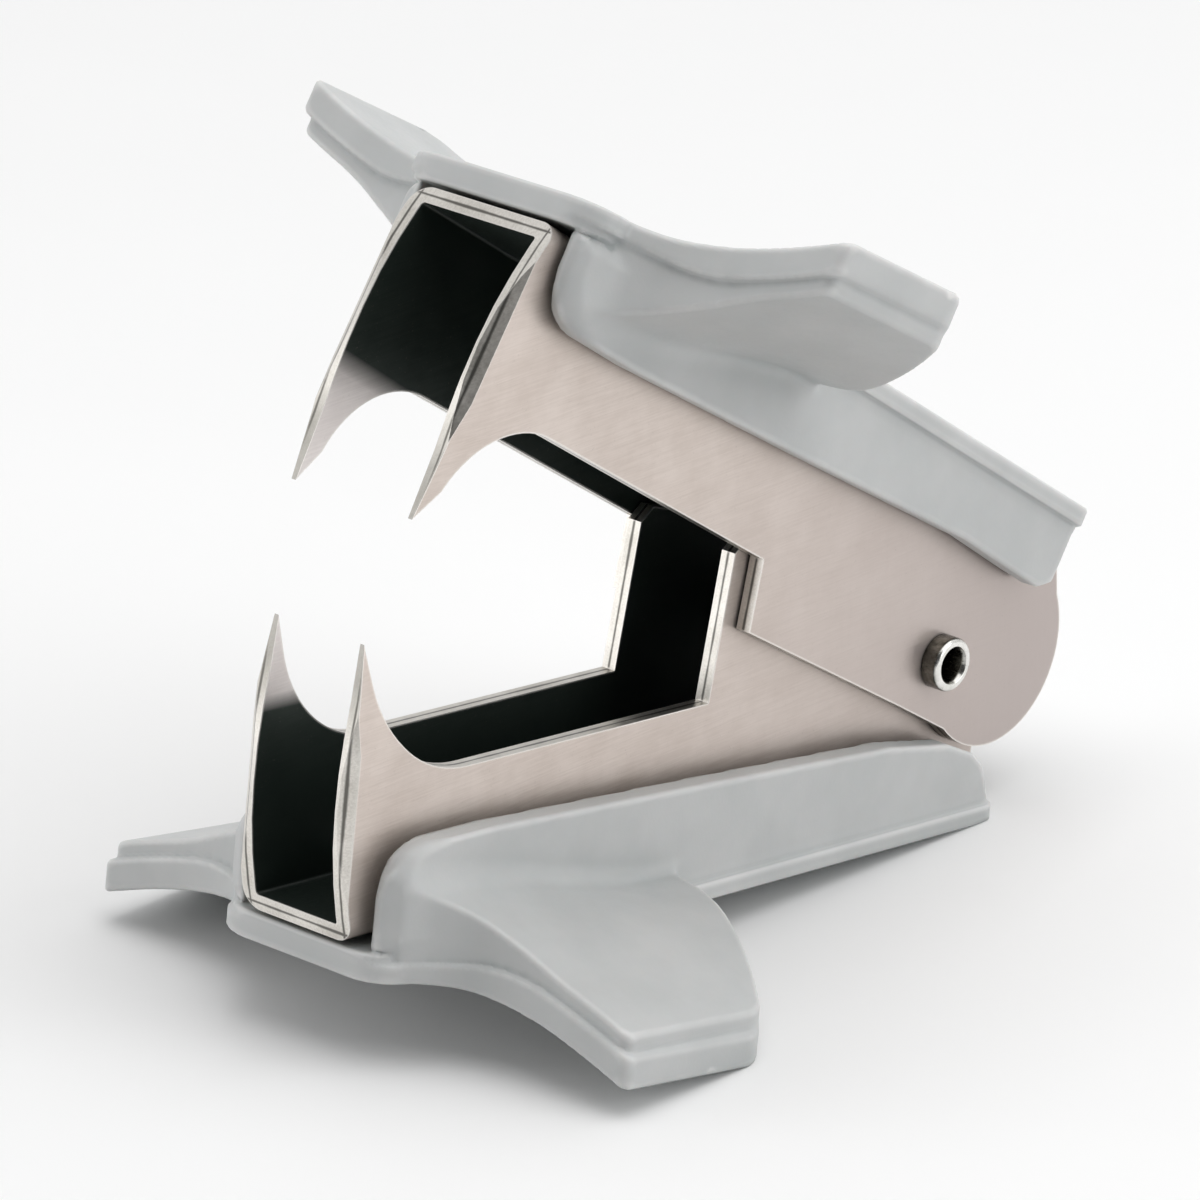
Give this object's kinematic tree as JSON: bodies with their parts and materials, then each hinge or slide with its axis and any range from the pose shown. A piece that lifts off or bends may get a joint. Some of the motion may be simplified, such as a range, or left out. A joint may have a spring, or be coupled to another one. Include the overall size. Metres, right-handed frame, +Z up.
{
  "type": "staple remover",
  "caption": "Jaw-type staple remover: two nested steel jaws with fangs on a tubular rivet, held open by a torsion spring, with winged plastic finger grips.",
  "frame": {"origin": "centre of the rivet's through-hole, half way between the cheeks", "axes": "+X along the hinge, -Y towards the fangs, +Z up with the remover standing on its lower grip, jaws open"},
  "size_m": [0.0404, 0.0614, 0.0478],
  "materials": {
    "grip_plastic": "satin light grey",
    "jaw_steel": "satin nickel",
    "rivet_steel": "bright nickel",
    "spring_steel": "bright drawn wire"
  },
  "bodies": {
    "lower": {"lower_jaw": "jaw_steel", "lower_grip": "grip_plastic", "return_spring": "spring_steel"},
    "upper": {"upper_jaw": "jaw_steel", "upper_grip": "grip_plastic", "pivot_rivet": "rivet_steel"}
  },
  "joints": [
    {"name": "jaw_hinge", "type": "hinge", "parent": "lower", "child": "upper", "pos_m": [0, 0, 0], "axis": [1, 0, 0], "range_deg": [0, 22], "stiffness_Nm_per_rad": 0.3, "springref_deg": -28.65, "deforming": ["return_spring"]}
  ]
}
